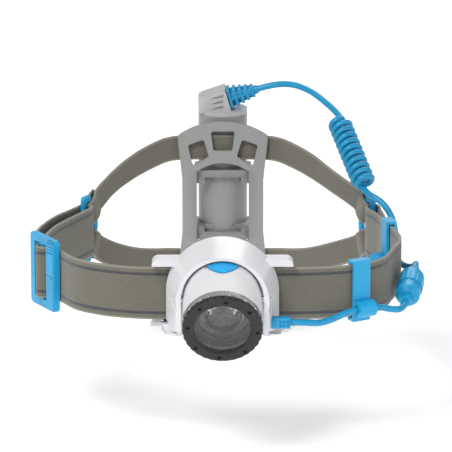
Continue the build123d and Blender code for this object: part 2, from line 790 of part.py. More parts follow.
with BuildPart() as rear_light_led:
    with BuildSketch(Plane.XZ.offset(-(case_y + 8.0))):
        with Locations((0, 36)):
            Rectangle(7.0, 6.0)
    extrude(amount=-1.0)
    with BuildSketch(Plane.XZ.offset(-(case_y + 9.0))):
        with Locations((0, 36)):
            Rectangle(2.8, 2.8)
    extrude(amount=-0.9)
save(rear_light_led, "rear_light_led")

with BuildPart() as battery_door:
    with BuildSketch(Plane.XY.offset(case_bottom - 3.0)):
        with Locations((0, case_y)):
            Circle(case_radius)
        with Locations((0, 105)):
            Rectangle(7.4, 6.2)
    extrude(amount=2.95)
    with BuildSketch(Plane.YZ.offset(-3.7)):
        with Locations((hinge_y, hinge_z)):
            Circle(1.6)
    extrude(amount=7.4)
    with BuildSketch(Plane.YZ.offset(-8)):
        with Locations((hinge_y, hinge_z)):
            Circle(0.85)
    extrude(amount=16, mode=Mode.SUBTRACT)
    chamfer(battery_door.faces().sort_by(Axis.Z)[0].edges().filter_by(GeomType.CIRCLE), 0.8)
    with BuildSketch(Plane.XY.offset(case_bottom - 3.5)):
        with Locations((0, case_y - 10.4)):
            Rectangle(8, 1.2)
    extrude(amount=1.3, mode=Mode.SUBTRACT)
save(battery_door, "battery_door")

with BuildPart() as door_hinge_pin:
    with BuildSketch(Plane.YZ.offset(-7.0)):
        with Locations((hinge_y, hinge_z)):
            Circle(0.8)
    extrude(amount=14)
save(door_hinge_pin, "door_hinge_pin")

with BuildPart() as door_seal:
    with BuildSketch(Plane.XY.offset(case_bottom - 0.05)):
        with Locations((0, case_y)):
            Circle(case_inner - 0.15)
            Circle(case_inner - 1.4, mode=Mode.SUBTRACT)
    extrude(amount=0.9)
save(door_seal, "door_seal")

spring_turns = 3
spring_height = cell_bottom - case_bottom - 1.4
with BuildPart() as contact_spring:
    with BuildSketch(Plane.XY.offset(case_bottom - 0.05)):
        with Locations((0, case_y)):
            Circle(5.0)
    extrude(amount=0.8)
    with BuildLine() as coil_line:
        Helix(pitch=spring_height / spring_turns, height=spring_height, radius=4.0,
              center=(0, case_y, case_bottom + 0.6))
    with BuildSketch(Plane(origin=coil_line.line @ 0, z_dir=coil_line.line % 0)):
        Circle(0.4)
    sweep(path=coil_line.line)
save(contact_spring, "contact_spring")

# ---- boot on the battery case --------------------------------------------------------------------
boot_length = 15.5
boot_ribs = 5
boot_plane = Plane(origin=boot_foot, x_dir=(0, 1, 0), z_dir=boot_way)
with BuildPart() as battery_cable_boot:
    with BuildSketch(boot_plane.offset(0.02)):
        Circle(3.7)
    with BuildSketch(boot_plane.offset(boot_length)):
        Circle(2.1)
    loft()
    for rib in range(boot_ribs):
        start = 0.5 + rib * 2.9
        reach = 5.3 - 0.55 * rib
        with BuildSketch(boot_plane.offset(start)):
            RectangleRounded(2 * reach, 2 * reach, 1.2)
        extrude(amount=1.3)
    # two crossed spines tie the ribs together
    for turn in (0, 90):
        with BuildSketch(boot_plane.offset(0.5)):
            Rectangle(10.0, 1.6, rotation=turn)
        with BuildSketch(boot_plane.offset(13.4)):
            Rectangle(5.4, 1.6, rotation=turn)
        loft()
save(battery_cable_boot, "battery_cable_boot")

# ---- cord: from the battery, through the curly stretch, to the connector -----------------------
boot_end = boot_foot + boot_way * boot_length
coil_top = Vector(56.6, 61.5, 47.6)
coil_way = Vector(12.7, -34.5, -25.4).normalized()
coil_length = 44.0
coil_bottom = coil_top + coil_way * coil_length


def spot(vector):
    """A place as plain numbers."""
    return (vector.X, vector.Y, vector.Z)


battery_cord_upper = cord_tube(
    [spot(boot_end), spot(boot_end + boot_way * 8), (35.0, 88.5, 59.6), (43.5, 81.0, 57.7),
     (49.2, 73.3, 55.0), spot(coil_top - coil_way * 7.0), spot(coil_top)],
    "battery_cord_upper")
save(battery_cord_upper, "battery_cord_upper")

with BuildPart() as cord_coil:
    with BuildSketch(Plane(origin=coil_top, z_dir=coil_way)):
        Circle(coil_diameter / 2)
    extrude(amount=coil_length)
save(cord_coil, "cord_coil")

plug_foot = Vector(85.0, -62.0, -9.5)
plug_way = Vector(5.5, 30.0, 7.5).normalized()
plug_length = 31.4
socket_end = plug_foot + plug_way * plug_length
battery_cord_lower = cord_tube(
    [spot(coil_bottom), spot(coil_bottom + coil_way * 5.0), (76.4, 19.8, 17.6), (81.5, 16.0, 11.4),
     (83.4, 11.8, 2.6), (82.0, 6.4, -6.5), (86.6, -12.2, -6.5), (91.0, -19.6, -4.4),
     spot(socket_end + plug_way * 6.5), spot(socket_end)],
    "battery_cord_lower")
save(battery_cord_lower, "battery_cord_lower")

lamp_cord = cord_tube(
    [(31.0, boot_y, boot_z), (37.5, boot_y, boot_z), (44.5, -91.0, -11.5), (51.5, -86.8, -10.3),
     (58.0, -83.2, -8.0), (72.0, -74.6, -8.0), (78.6, -72.6, -10.2), spot(plug_foot - plug_way * 6.5),
     spot(plug_foot)],
    "lamp_cord")
save(lamp_cord, "lamp_cord")

# ---- inline connector -----------------------------------------------------------------------------
def along_plug(distance):
    """The plane across the connector at a distance from the lamp's end of it."""
    return Plane(origin=plug_foot + plug_way * distance, z_dir=plug_way)


with BuildPart() as connector_plug_half:
    with BuildSketch(along_plug(0)):
        RegularPolygon(3.0, 6)
    extrude(amount=4.5)
    with BuildSketch(along_plug(4.5)):
        Circle(3.2)
    with BuildSketch(along_plug(6.5)):
        Circle(5.8)
    loft()
    with BuildSketch(along_plug(6.5)):
        Circle(5.8)
    extrude(amount=5.5)
    with BuildSketch(along_plug(12)):
        Circle(4.0)
    extrude(amount=7.9)
save(connector_plug_half, "connector_plug_half")

with BuildPart() as connector_seal:
    with BuildSketch(along_plug(12.0)):
        Circle(4.9)
        Circle(4.05, mode=Mode.SUBTRACT)
    extrude(amount=0.8)
save(connector_seal, "connector_seal")

with BuildPart() as connector_socket_half:
    with BuildSketch(along_plug(12.8)):
        Circle(4.94)
        Circle(4.06, mode=Mode.SUBTRACT)
    extrude(amount=7.2)
    with BuildSketch(along_plug(20.0)):
        Circle(5.8)
    extrude(amount=3.0)
    with BuildSketch(along_plug(23.0)):
        Circle(5.0)
    with BuildSketch(along_plug(plug_length)):
        Circle(2.4)
    loft()
save(connector_socket_half, "connector_socket_half")

with BuildPart() as coupling_nut:
    with BuildSketch(along_plug(12.3)):
        Circle(6.2)
        Circle(5.0, mode=Mode.SUBTRACT)
    extrude(amount=7.4)
    with BuildSketch(along_plug(12.3)):
        with PolarLocations(6.5, 12):
            Circle(0.6)
    extrude(amount=7.4, mode=Mode.SUBTRACT)
save(coupling_nut, "coupling_nut")

# ---- cable clips on the right of the band ------------------------------------------------------
clip_length = 9.0
clip_gap = 1.25
clip_plate = 1.3
roll_radius = 3.9
roll_out = 4.9


def cable_clip(place, way, roll_height, name):
    """A clip bent round the band, with a roll outside it that holds the cord."""
    run = Vector(*way).normalized()
    middle = Vector(*place)
    across = Plane(origin=middle - run * (clip_length / 2), x_dir=(run.Y, -run.X, 0), z_dir=run)
    up = 1 if across.y_dir.Z > 0 else -1
    opening = band_width / 2
    with BuildPart() as clip:
        with BuildSketch(across):
            Rectangle(2 * (clip_gap + clip_plate), band_width + 1.2 + 2 * clip_plate)
            Rectangle(2 * clip_gap, band_width + 1.2, mode=Mode.SUBTRACT)
            with Locations((-clip_gap - clip_plate / 2, 0)):
                Rectangle(clip_plate + 0.2, opening, mode=Mode.SUBTRACT)
            with Locations((roll_out, up * roll_height)):
                Circle(roll_radius)
                Circle(cord_diameter / 2 + 0.35, mode=Mode.SUBTRACT)
        extrude(amount=clip_length)
    save(clip, name)


cable_clip((63.0, -74.35, 0), (14.0, 8.6, 0), -8.0, "cable_clip_front")
cable_clip((79.4, -3.0, 0), (4.6, -18.6, 0), -6.5, "cable_clip_side")
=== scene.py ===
"""Looks of the sport head lamp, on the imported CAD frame. Metres; +Z up, the lamp faces -Y."""
import math

import bmesh
import bpy
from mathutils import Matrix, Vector, noise
from mathutils.bvhtree import BVHTree


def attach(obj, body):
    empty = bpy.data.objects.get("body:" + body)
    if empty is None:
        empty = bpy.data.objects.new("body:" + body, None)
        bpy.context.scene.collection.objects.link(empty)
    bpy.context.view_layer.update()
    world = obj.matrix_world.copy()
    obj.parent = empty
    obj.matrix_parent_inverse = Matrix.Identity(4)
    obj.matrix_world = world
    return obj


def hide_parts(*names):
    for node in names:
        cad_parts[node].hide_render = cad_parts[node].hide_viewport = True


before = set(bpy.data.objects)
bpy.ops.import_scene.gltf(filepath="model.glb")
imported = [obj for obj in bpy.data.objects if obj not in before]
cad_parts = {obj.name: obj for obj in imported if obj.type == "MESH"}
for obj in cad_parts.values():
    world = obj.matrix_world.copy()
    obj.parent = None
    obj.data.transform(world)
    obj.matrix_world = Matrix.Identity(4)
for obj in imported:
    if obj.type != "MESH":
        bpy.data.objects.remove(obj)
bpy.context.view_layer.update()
MM = 0.001

# ---- sizes, in millimetres as in the part's source -----------------------------------------------
BAND_WIDTH = 25.0
BAND_THICKNESS = 1.3
REAR_WIDTH = 12.5
REAR_THICKNESS = 1.1
FRONT_Y = -81.0
CORD = 3.1

# ---- camera and light ----------------------------------------------------------------------------
CAMERA_ELEVATION = math.radians(15.0)
CAMERA_DISTANCE = 2.0
CAMERA_LENS = 333.2
CAMERA_TARGET = Vector((1.58, 0.0, 10.4)) * MM
WORLD_LIGHT = 0.34
FLOOR_HALF = 6.0
FLOOR_LEVEL = -0.075
FLOOR_GLOW = 0.35


def make_camera():
    """The long-lens view of the photograph: straight at the lamp, from a little above."""
    data = bpy.data.cameras.new("camera")
    camera = bpy.data.objects.new("camera", data)
    bpy.context.scene.collection.objects.link(camera)
    back = Vector((0, -math.cos(CAMERA_ELEVATION), math.sin(CAMERA_ELEVATION)))
    camera.location = CAMERA_TARGET + back * CAMERA_DISTANCE
    camera.rotation_euler = (math.pi / 2 - CAMERA_ELEVATION, 0, 0)
    data.sensor_width = 36.0
    data.lens = CAMERA_LENS
    data.clip_start = 0.01
    data.clip_end = 20.0
    bpy.context.scene.camera = camera


def area_light(name, place, aim, size, power):
    """One soft rectangular lamp."""
    data = bpy.data.lights.new(name, "AREA")
    data.shape = "RECTANGLE"
    data.size = size[0]
    data.size_y = size[1]
    data.energy = power
    lamp = bpy.data.objects.new(name, data)
    lamp.location = place
    lamp.rotation_euler = (Vector(aim) - Vector(place)).to_track_quat("-Z", "Y").to_euler()
    bpy.context.scene.collection.objects.link(lamp)


def make_studio():
    """A white floor well below the lamp and lights from the front left and above, for dark hollows."""
    world = bpy.data.worlds.new("studio")
    bpy.context.scene.world = world
    world.use_nodes = True
    background = world.node_tree.nodes["Background"]
    background.inputs["Color"].default_value = (1.0, 1.0, 1.0, 1.0)
    background.inputs["Strength"].default_value = WORLD_LIGHT
    bpy.context.scene.view_settings.view_transform = "Standard"
    area_light("key", (-0.55, -1.0, 1.25), (0, 0, 0), (0.55, 0.55), 17.0)
    area_light("fill", (1.2, -0.9, 0.35), (0, 0, 0), (0.7, 0.7), 3.0)
    area_light("rim", (0.2, 1.2, 0.9), (0, 0, 0), (0.8, 0.5), 6.0)
    mesh = bpy.data.meshes.new("floor")
    corners = [(-1, -1), (1, -1), (1, 1), (-1, 1)]
    mesh.from_pydata([(x * FLOOR_HALF, y * FLOOR_HALF, FLOOR_LEVEL) for x, y in corners], [], [(0, 1, 2, 3)])
    floor = bpy.data.objects.new("floor", mesh)
    bpy.context.scene.collection.objects.link(floor)
    paint = bpy.data.materials.new("floor_paint")
    paint.use_nodes = True
    shader = paint.node_tree.nodes["Principled BSDF"]
    shader.inputs["Base Color"].default_value = (0.9, 0.9, 0.9, 1)
    shader.inputs["Roughness"].default_value = 0.95
    shader.inputs["Emission Color"].default_value = (1.0, 1.0, 1.0, 1)
    shader.inputs["Emission Strength"].default_value = FLOOR_GLOW
    mesh.materials.append(paint)


make_camera()
make_studio()


# ---- material kit --------------------------------------------------------------------------------
class Shader:
    """A short way to wire a material's nodes."""

    def __init__(self, name):
        self.material = bpy.data.materials.new(name)
        self.material.use_nodes = True
        self.tree = self.material.node_tree
        self.main = self.tree.nodes["Principled BSDF"]
        self.place = self.node("ShaderNodeTexCoord").outputs["Object"]

    def node(self, kind, **settings):
        made = self.tree.nodes.new(kind)
        for key, value in settings.items():
            setattr(made, key, value)
        return made

    def link(self, source, target):
        self.tree.links.new(source, target)

    def put(self, **values):
        """Plain values on the main shader, by socket name with underscores."""
        for key, value in values.items():
            self.main.inputs[key.replace("_", " ")].default_value = value

    def noise(self, scale, detail=3.0, rough=0.55, vector=None):
        made = self.node("ShaderNodeTexNoise")
        made.inputs["Scale"].default_value = scale
        made.inputs["Detail"].default_value = detail
        made.inputs["Roughness"].default_value = rough
        self.link(vector or self.place, made.inputs["Vector"])
        return made.outputs["Fac"]

    def math(self, operation, first, second=0.0, third=None):
        made = self.node("ShaderNodeMath", operation=operation)
        for slot, value in enumerate((first, second, third)):
            if value is None:
                continue
            if isinstance(value, (int, float)):
                made.inputs[slot].default_value = value
            else:
                self.link(value, made.inputs[slot])
        return made.outputs[0]

    def ramp(self, value, low, high, out_low=0.0, out_high=1.0):
        made = self.node("ShaderNodeMapRange", clamp=True)
        self.link(value, made.inputs["Value"])
        made.inputs["From Min"].default_value = low
        made.inputs["From Max"].default_value = high
        made.inputs["To Min"].default_value = out_low
        made.inputs["To Max"].default_value = out_high
        return made.outputs["Result"]

    def mix(self, factor, first, second):
        made = self.node("ShaderNodeMix", data_type="RGBA")
        self.link(factor, made.inputs["Factor"])
        for socket, value in ((made.inputs[6], first), (made.inputs[7], second)):
            if isinstance(value, tuple):
                socket.default_value = (*value, 1.0)
            else:
                self.link(value, socket)
        return made.outputs[2]

    def bump(self, height, distance, strength=1.0, before=None):
        made = self.node("ShaderNodeBump")
        made.inputs["Strength"].default_value = strength
        made.inputs["Distance"].default_value = distance
        self.link(height, made.inputs["Height"])
        if before is not None:
            self.link(before, made.inputs["Normal"])
        return made.outputs["Normal"]

    def attribute(self, name):
        return self.node("ShaderNodeAttribute", attribute_name=name).outputs["Fac"]


def tint(colour, factor):
    """A colour made lighter or darker by a factor."""
    return tuple(min(1.0, part * factor) for part in colour)


def moulded(name, colour, rough, grain=0.00003, grain_scale=2600.0, coat=0.0, wear_and_highlight=1.12):
    """Moulded plastic: fine grain, faint mottling, and convex edges a little paler, partly rubbed wear and partly
    a painted highlight.
    """
    s = Shader(name)
    cloud = s.noise(55.0, 4.0)
    blotch = s.mix(s.ramp(cloud, 0.35, 0.7), tint(colour, 0.94), tint(colour, 1.04))
    # painted highlight: convex edges lightened by Pointiness, partly rubbed wear and partly a painted rim
    # highlight
    edge = s.node("ShaderNodeNewGeometry").outputs["Pointiness"]
    rubbed_and_highlight = s.ramp(edge, 0.515, 0.60)
    s.link(s.mix(rubbed_and_highlight, blotch, tint(colour, wear_and_highlight)), s.main.inputs["Base Color"])
    fine = s.noise(grain_scale, 2.0)
    smudge = s.noise(140.0, 3.0)
    s.link(s.ramp(smudge, 0.3, 0.75, rough * 0.85, min(1.0, rough * 1.2)), s.main.inputs["Roughness"])
    s.link(s.bump(fine, grain), s.main.inputs["Normal"])
    s.put(Coat_Weight=coat, Coat_Roughness=0.15, IOR=1.48)
    return s.material


def turned_metal(name, colour, rough, ring_scale=2200.0):
    """Metal with fine machining marks."""
    s = Shader(name)
    marks = s.noise(ring_scale, 2.0)
    s.link(s.mix(s.ramp(marks, 0.35, 0.65), tint(colour, 0.85), tint(colour, 1.1)), s.main.inputs["Base Color"])
    s.link(s.ramp(marks, 0.3, 0.7, rough * 0.8, rough * 1.3), s.main.inputs["Roughness"])
    s.link(s.bump(marks, 0.00001), s.main.inputs["Normal"])
    s.put(Metallic=1.0)
    return s.material


def clear(name, colour, rough=0.02, ior=1.49):
    """Clear moulded plastic or glass."""
    s = Shader(name)
    dust = s.noise(900.0, 3.0)
    s.link(s.ramp(dust, 0.55, 0.8, rough, rough + 0.08), s.main.inputs["Roughness"])
    s.put(Base_Color=(*colour, 1.0), Transmission_Weight=1.0, IOR=ior)
    return s.material


def rubbery(name, colour, rough=0.45, grain=0.00002):
    """Cord jacket and boots: soft satin with a faint drag grain."""
    s = Shader(name)
    cloud = s.noise(160.0, 3.0)
    s.link(s.mix(s.ramp(cloud, 0.35, 0.7), tint(colour, 0.9), tint(colour, 1.08)), s.main.inputs["Base Color"])
    fine = s.noise(3200.0, 2.0)
    s.link(s.ramp(cloud, 0.3, 0.7, rough * 0.85, rough * 1.2), s.main.inputs["Roughness"])
    s.link(s.bump(fine, grain), s.main.inputs["Normal"])
    s.put(Coat_Weight=0.08, Coat_Roughness=0.3, IOR=1.5)
    return s.material


WHITE = (0.80, 0.80, 0.82)
BLUE = (0.006, 0.31, 0.58)
CASE_GREY = (0.46, 0.46, 0.455)
CRADLE_GREY = (0.185, 0.19, 0.185)
TAUPE = (0.155, 0.147, 0.115)
# paler taupe of the strap edges: the bound edge with a painted highlight
TAUPE_BOUND_HIGHLIGHT = (0.27, 0.262, 0.215)
STRIPE = (0.062, 0.064, 0.074)

white_shell = moulded("white_shell", WHITE, 0.34, grain=0.00001, coat=0.1, wear_and_highlight=1.0)
blue_plastic = moulded("blue_plastic", BLUE, 0.38, coat=0.05, wear_and_highlight=1.25)
blue_cord = rubbery("blue_cord", BLUE, 0.4)
button_blue = moulded("button_blue", (0.015, 0.42, 0.85), 0.3, coat=0.15, wear_and_highlight=1.15)
case_grey = moulded("case_grey", CASE_GREY, 0.42, wear_and_highlight=1.1)
# painted highlight: the cradle's edges are lightened strongly to stand in for its rim highlight
cradle_grey = moulded("cradle_grey", CRADLE_GREY, 0.42, wear_and_highlight=1.7)
# painted shade: the battery case and door get a dark grey close to the cradle's, darker than the case cap, for
# the shade inside the cradle
case_painted_shade = moulded("case_painted_shade", tint(CRADLE_GREY, 1.05), 0.36, coat=0.1, wear_and_highlight=1.5)
bezel_black = moulded("bezel_black", (0.009, 0.009, 0.010), 0.45, grain=0.00004, grain_scale=1500.0, wear_and_highlight=2.2)
ring_silver = turned_metal("ring_silver", (0.80, 0.81, 0.83), 0.24)
sink_metal = turned_metal("sink_metal", (0.5, 0.51, 0.53), 0.45, 700.0)
steel = turned_metal("steel", (0.6, 0.6, 0.6), 0.28)
plated = turned_metal("plated", (0.78, 0.72, 0.5), 0.22)
glass = clear("glass", (0.97, 0.985, 1.0))
lens_clear = clear("lens_clear", (0.48, 0.50, 0.51))
inner_black = moulded("inner_black", (0.02, 0.02, 0.022), 0.4)
red_clear = moulded("red_clear", (0.45, 0.015, 0.015), 0.12, coat=0.5)
black_rubber = rubbery("black_rubber", (0.02, 0.02, 0.02), 0.6)
carrier_black = moulded("carrier_black", (0.03, 0.03, 0.032), 0.5)
board_green = moulded("board_green", (0.02, 0.14, 0.06), 0.3, coat=0.3)
phosphor = moulded("phosphor", (0.85, 0.68, 0.12), 0.35)
cell_wrap = moulded("cell_wrap", (0.04, 0.12, 0.28), 0.22, coat=0.4)


# The weave's sizes, in metres.
RIB_PITCH = 0.0009
PICK_PITCH = 0.0006
ZIGZAG_STEP = 0.00055
ZIGZAG_SWING = 0.9
STRIPE_INSET = 0.0033
STRIPE_HALF = (0.00070, 0.00088)
STRIPE_RIM = 0.00095
BOUND_EDGE_HIGHLIGHT = (0.0007, 0.0012)


def woven(name, stripes):
    """Elastic webbing: crosswise ribs with painted shade in their grooves, a heathered yarn, paler edges (a bound
    edge with a painted highlight) and zigzag stripes.

    The strip carries its own measures in metres: along, across (from the middle) and half (its half width).
    """
    s = Shader(name)
    along = s.attribute("along")
    across = s.attribute("across")
    half = s.attribute("half")
    yarn_vector = s.node("ShaderNodeCombineXYZ")
    s.link(s.math("MULTIPLY", along, 2600.0), yarn_vector.inputs[0])
    s.link(s.math("MULTIPLY", across, 900.0), yarn_vector.inputs[1])
    heather = s.noise(1.0, 3.0, vector=yarn_vector.outputs[0])
    cloud = s.noise(90.0, 3.0)
    base = s.mix(s.ramp(heather, 0.32, 0.68), tint(TAUPE, 0.72), tint(TAUPE, 1.28))
    base = s.mix(s.ramp(cloud, 0.3, 0.75), base, tint(TAUPE, 1.1))
    # ribs of the elastic, and the short stitches that cross them
    rib = s.math("SINE", s.math("MULTIPLY", along, 2 * math.pi / RIB_PITCH))
    pick = s.math("SINE", s.math("MULTIPLY", across, 2 * math.pi / PICK_PITCH))
    weave = s.math("ADD", s.math("MULTIPLY", rib, 0.25), s.math("MULTIPLY", s.math("MULTIPLY", rib, pick), 0.5))
    # painted shade: the weave's grooves are darkened
    painted_groove_shade = s.ramp(weave, -1.0, -0.2, 0.28, 0.0)
    base = s.mix(painted_groove_shade, base, tint(TAUPE, 0.45))
    from_edge = s.math("SUBTRACT", half, s.math("ABSOLUTE", across))
    if stripes:
        wave = s.math("PINGPONG", along, ZIGZAG_STEP)
        swing = s.math("MULTIPLY", s.math("SUBTRACT", wave, ZIGZAG_STEP / 2), ZIGZAG_SWING)
        off = s.math("ABSOLUTE", s.math("SUBTRACT", s.math("SUBTRACT", from_edge, STRIPE_INSET), swing))
        inside = s.ramp(off, *STRIPE_HALF, 1.0, 0.0)
        rim = s.ramp(s.math("ABSOLUTE", s.math("SUBTRACT", off, STRIPE_RIM)), 0.00008, 0.0002, 0.3, 0.0)
        thread = s.mix(s.ramp(heather, 0.35, 0.7), tint(STRIPE, 0.75), tint(STRIPE, 1.5))
        base = s.mix(rim, base, tint(TAUPE, 1.7))
        base = s.mix(inside, base, thread)
    # painted highlight: both edges of the strip paler, partly the bound edge and partly a painted highlight
    bound_edge_highlight = s.ramp(from_edge, *BOUND_EDGE_HIGHLIGHT, 1.0, 0.0)
    base = s.mix(bound_edge_highlight, base, TAUPE_BOUND_HIGHLIGHT)
    s.link(base, s.main.inputs["Base Color"])
    fuzz = s.noise(2600.0, 3.0)
    rough_bump = s.bump(fuzz, 0.00006)
    s.link(s.bump(weave, 0.00012, 0.9, rough_bump), s.main.inputs["Normal"])
    s.put(Roughness=0.88, Sheen_Weight=0.35, Sheen_Roughness=0.5)
    return s.material


band_cloth = woven("band_cloth", True)
rear_cloth = woven("rear_cloth", False)


# ---- geometry kit --------------------------------------------------------------------------------
def add_object(name, mesh, material, body="root"):
    """Link a finished mesh, shade it smooth, give it its finish and let it ride on a body."""
    thing = bpy.data.objects.new(name, mesh)
    bpy.context.scene.collection.objects.link(thing)
    mesh.materials.append(material)
    mesh.polygons.foreach_set("use_smooth", [True] * len(mesh.polygons))
    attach(thing, body)
    return thing


def smooth_path(points, per_corner=12):
    """The curve that starts and ends on the first and last point and rounds every other one."""
    points = [Vector(p) for p in points]
    path = []
    last = len(points) - 2
    for i in range(1, len(points) - 1):
        start = points[0] if i == 1 else (points[i - 1] + points[i]) / 2
        end = points[-1] if i == last else (points[i] + points[i + 1]) / 2
        for step in range(per_corner):
            t = step / per_corner
            path.append(start * (1 - t) ** 2 + points[i] * 2 * t * (1 - t) + end * t ** 2)
    path.append(points[-1])
    return path


def ribbon(name, path, sides, width, thickness, material, edge_wave, seed):
    """Webbing along a path. sides are unit vectors across the strip; sizes in millimetres."""
    half = width / 2
    thin = thickness / 2
    round_steps = 5
    profile = []
    inner = half - thin
    rows = [inner * k / 8 for k in range(-8, 9)]
    for value in rows:
        profile.append((value, thin * (0.94 + 0.06 * abs(value) / inner)))
    for k in range(1, round_steps):
        turn = math.pi * k / round_steps
        profile.append((inner + thin * math.sin(turn), thin * math.cos(turn)))
    for value in rows[::-1]:
        profile.append((value, -thin * (0.94 + 0.06 * abs(value) / inner)))
    for k in range(1, round_steps):
        turn = math.pi * k / round_steps
        profile.append((-inner - thin * math.sin(turn), -thin * math.cos(turn)))
    count = len(profile)
    verts, faces, along_values, across_values = [], [], [], []
    run = 0.0
    for i, point in enumerate(path):
        before = path[max(i - 1, 0)]
        after = path[min(i + 1, len(path) - 1)]
        way = (after - before).normalized()
        side = sides[i] - way * sides[i].dot(way)
        side.normalize()
        out = way.cross(side)
        if i:
            run += (point - path[i - 1]).length
        ripple = edge_wave * noise.noise(Vector((run * 0.25, seed * 7.3, 0.0)))
        for across, up in profile:
            lean = ripple * (across / half) ** 3
            spot = point + side * (across * (1 + 0.002 * lean)) + out * (up + lean)
            verts.append(tuple(spot * MM))
            along_values.append(run * MM)
            across_values.append(across * MM)
    for i in range(len(path) - 1):
        for k in range(count):
            a = i * count + k
            b = i * count + (k + 1) % count
            faces.append((a, b, b + count, a + count))
    faces.append(tuple(range(count))[::-1])
    faces.append(tuple((len(path) - 1) * count + k for k in range(count)))
    mesh = bpy.data.meshes.new(name)
    mesh.from_pydata(verts, [], faces)
    for key, values in (("along", along_values), ("across", across_values), ("half", [half * MM] * len(verts))):
        layer = mesh.attributes.new(key, "FLOAT", "POINT")
        layer.data.foreach_set("value", values)
    bm = bmesh.new()
    bm.from_mesh(mesh)
    bmesh.ops.recalc_face_normals(bm, faces=bm.faces)
    bm.to_mesh(mesh)
    bm.free()
    return add_object(name, mesh, material)


def curve_tube(name, points, diameter, material, body="root"):
    """A round cord: one NURBS spline guided by a route in millimetres."""
    data = bpy.data.curves.new(name, "CURVE")
    data.dimensions = "3D"
    spline = data.splines.new("NURBS")
    spline.points.add(len(points) - 1)
    for slot, point in zip(spline.points, points):
        slot.co = (*(Vector(point) * MM), 1.0)
    spline.order_u = 3
    spline.use_endpoint_u = True
    data.resolution_u = 8
    data.bevel_depth = diameter * MM / 2
    data.bevel_resolution = 6
    data.use_fill_caps = True
    data.materials.append(material)
    thing = bpy.data.objects.new(name, data)
    bpy.context.scene.collection.objects.link(thing)
    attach(thing, body)
    return thing


def path_length(points):
    """Length of a route's smooth curve, in metres."""
    path = smooth_path(points, 8)
    return sum((b - a).length for a, b in zip(path, path[1:])) * MM


# ---- cords ---------------------------------------------------------------------------------------
BOOT_SLOPE = math.radians(17)
BOOT_WAY = Vector((math.cos(BOOT_SLOPE), 0, math.sin(BOOT_SLOPE)))
BOOT_FOOT = Vector((2.6, 93.5, 51.4))
BOOT_END = BOOT_FOOT + BOOT_WAY * 15.5
COIL_TOP = Vector((56.6, 61.5, 47.6))
COIL_WAY = Vector((12.7, -34.5, -25.4)).normalized()
COIL_LENGTH = 44.0
COIL_BOTTOM = COIL_TOP + COIL_WAY * COIL_LENGTH
COIL_TURNS = 10.6
COIL_RADIUS = 4.45
COIL_PER_TURN = 14
COIL_START = 3.9                  # radians round the axis, at the top end
COIL_NECK = 0.45                  # share of the radius at which the coil opens and closes
COIL_NECK_TURNS = 0.6
COIL_MARGIN = 0.03                # share of the length left free at each end
PLUG_FOOT = Vector((85.0, -62.0, -9.5))
PLUG_WAY = Vector((5.5, 30.0, 7.5)).normalized()
SOCKET_END = PLUG_FOOT + PLUG_WAY * 31.4


def coil_points():
    """The curly stretch: close turns that open from the axis at the top and close again below."""
    side = COIL_WAY.cross(Vector((0, 0, 1))).normalized()
    other = COIL_WAY.cross(side).normalized()
    total = int(COIL_TURNS * COIL_PER_TURN)
    neck = COIL_NECK_TURNS * COIL_PER_TURN
    points = []
    for k in range(total + 1):
        share = k / total
        turn = COIL_START + 2 * math.pi * k / COIL_PER_TURN
        opening = min(1.0, COIL_NECK + k / neck, COIL_NECK + (total - k) / neck)
        along = COIL_LENGTH * (COIL_MARGIN + (1 - 2 * COIL_MARGIN) * share)
        offset = (side * math.cos(turn) + other * math.sin(turn)) * COIL_RADIUS * opening
        points.append(COIL_TOP + COIL_WAY * along + offset)
    return points


battery_route = [
    BOOT_END, BOOT_END + BOOT_WAY * 8, (35.0, 88.5, 59.6), (43.5, 81.0, 57.7), (49.2, 73.3, 55.0),
    COIL_TOP - COIL_WAY * 7.0,
]
battery_route += coil_points()
battery_route += [
    COIL_BOTTOM + COIL_WAY * 5.0, (76.4, 19.8, 17.6), (81.5, 16.0, 11.4), (83.4, 11.8, 2.6),
    (82.0, 6.4, -6.5), (86.6, -12.2, -6.5), (91.0, -19.6, -4.4), SOCKET_END + PLUG_WAY * 6.5, SOCKET_END,
]
battery_cord = curve_tube("battery_cord", battery_route, CORD, blue_cord)
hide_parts("battery_cord_upper", "cord_coil", "battery_cord_lower")

lamp_route = [
    (31.0, -96.5, -9.3), (37.5, -96.5, -9.3), (44.5, -91.0, -11.5), (51.5, -86.8, -10.3), (58.0, -83.2, -8.0),
    (72.0, -74.6, -8.0), (78.6, -72.6, -10.2), PLUG_FOOT - PLUG_WAY * 6.5, PLUG_FOOT,
]
lamp_cord = curve_tube("lamp_lead", lamp_route, CORD, blue_cord)
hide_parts("lamp_cord")

path_length(battery_route)
path_length(lamp_route)

# ---- wide band -----------------------------------------------------------------------------------
ADJUSTER_FRONT = Vector((-77.0, -54.0, 0))
ADJUSTER_WAY = Vector((-12.3, 21.5, 0)).normalized()
ADJUSTER_OUT = Vector((-ADJUSTER_WAY.y, ADJUSTER_WAY.x, 0))


def by_adjuster(along, outward):
    """A place in plan, along the buckle from its front end and outward from its middle."""
    return tuple((ADJUSTER_FRONT + ADJUSTER_WAY * along + ADJUSTER_OUT * outward)[:2])


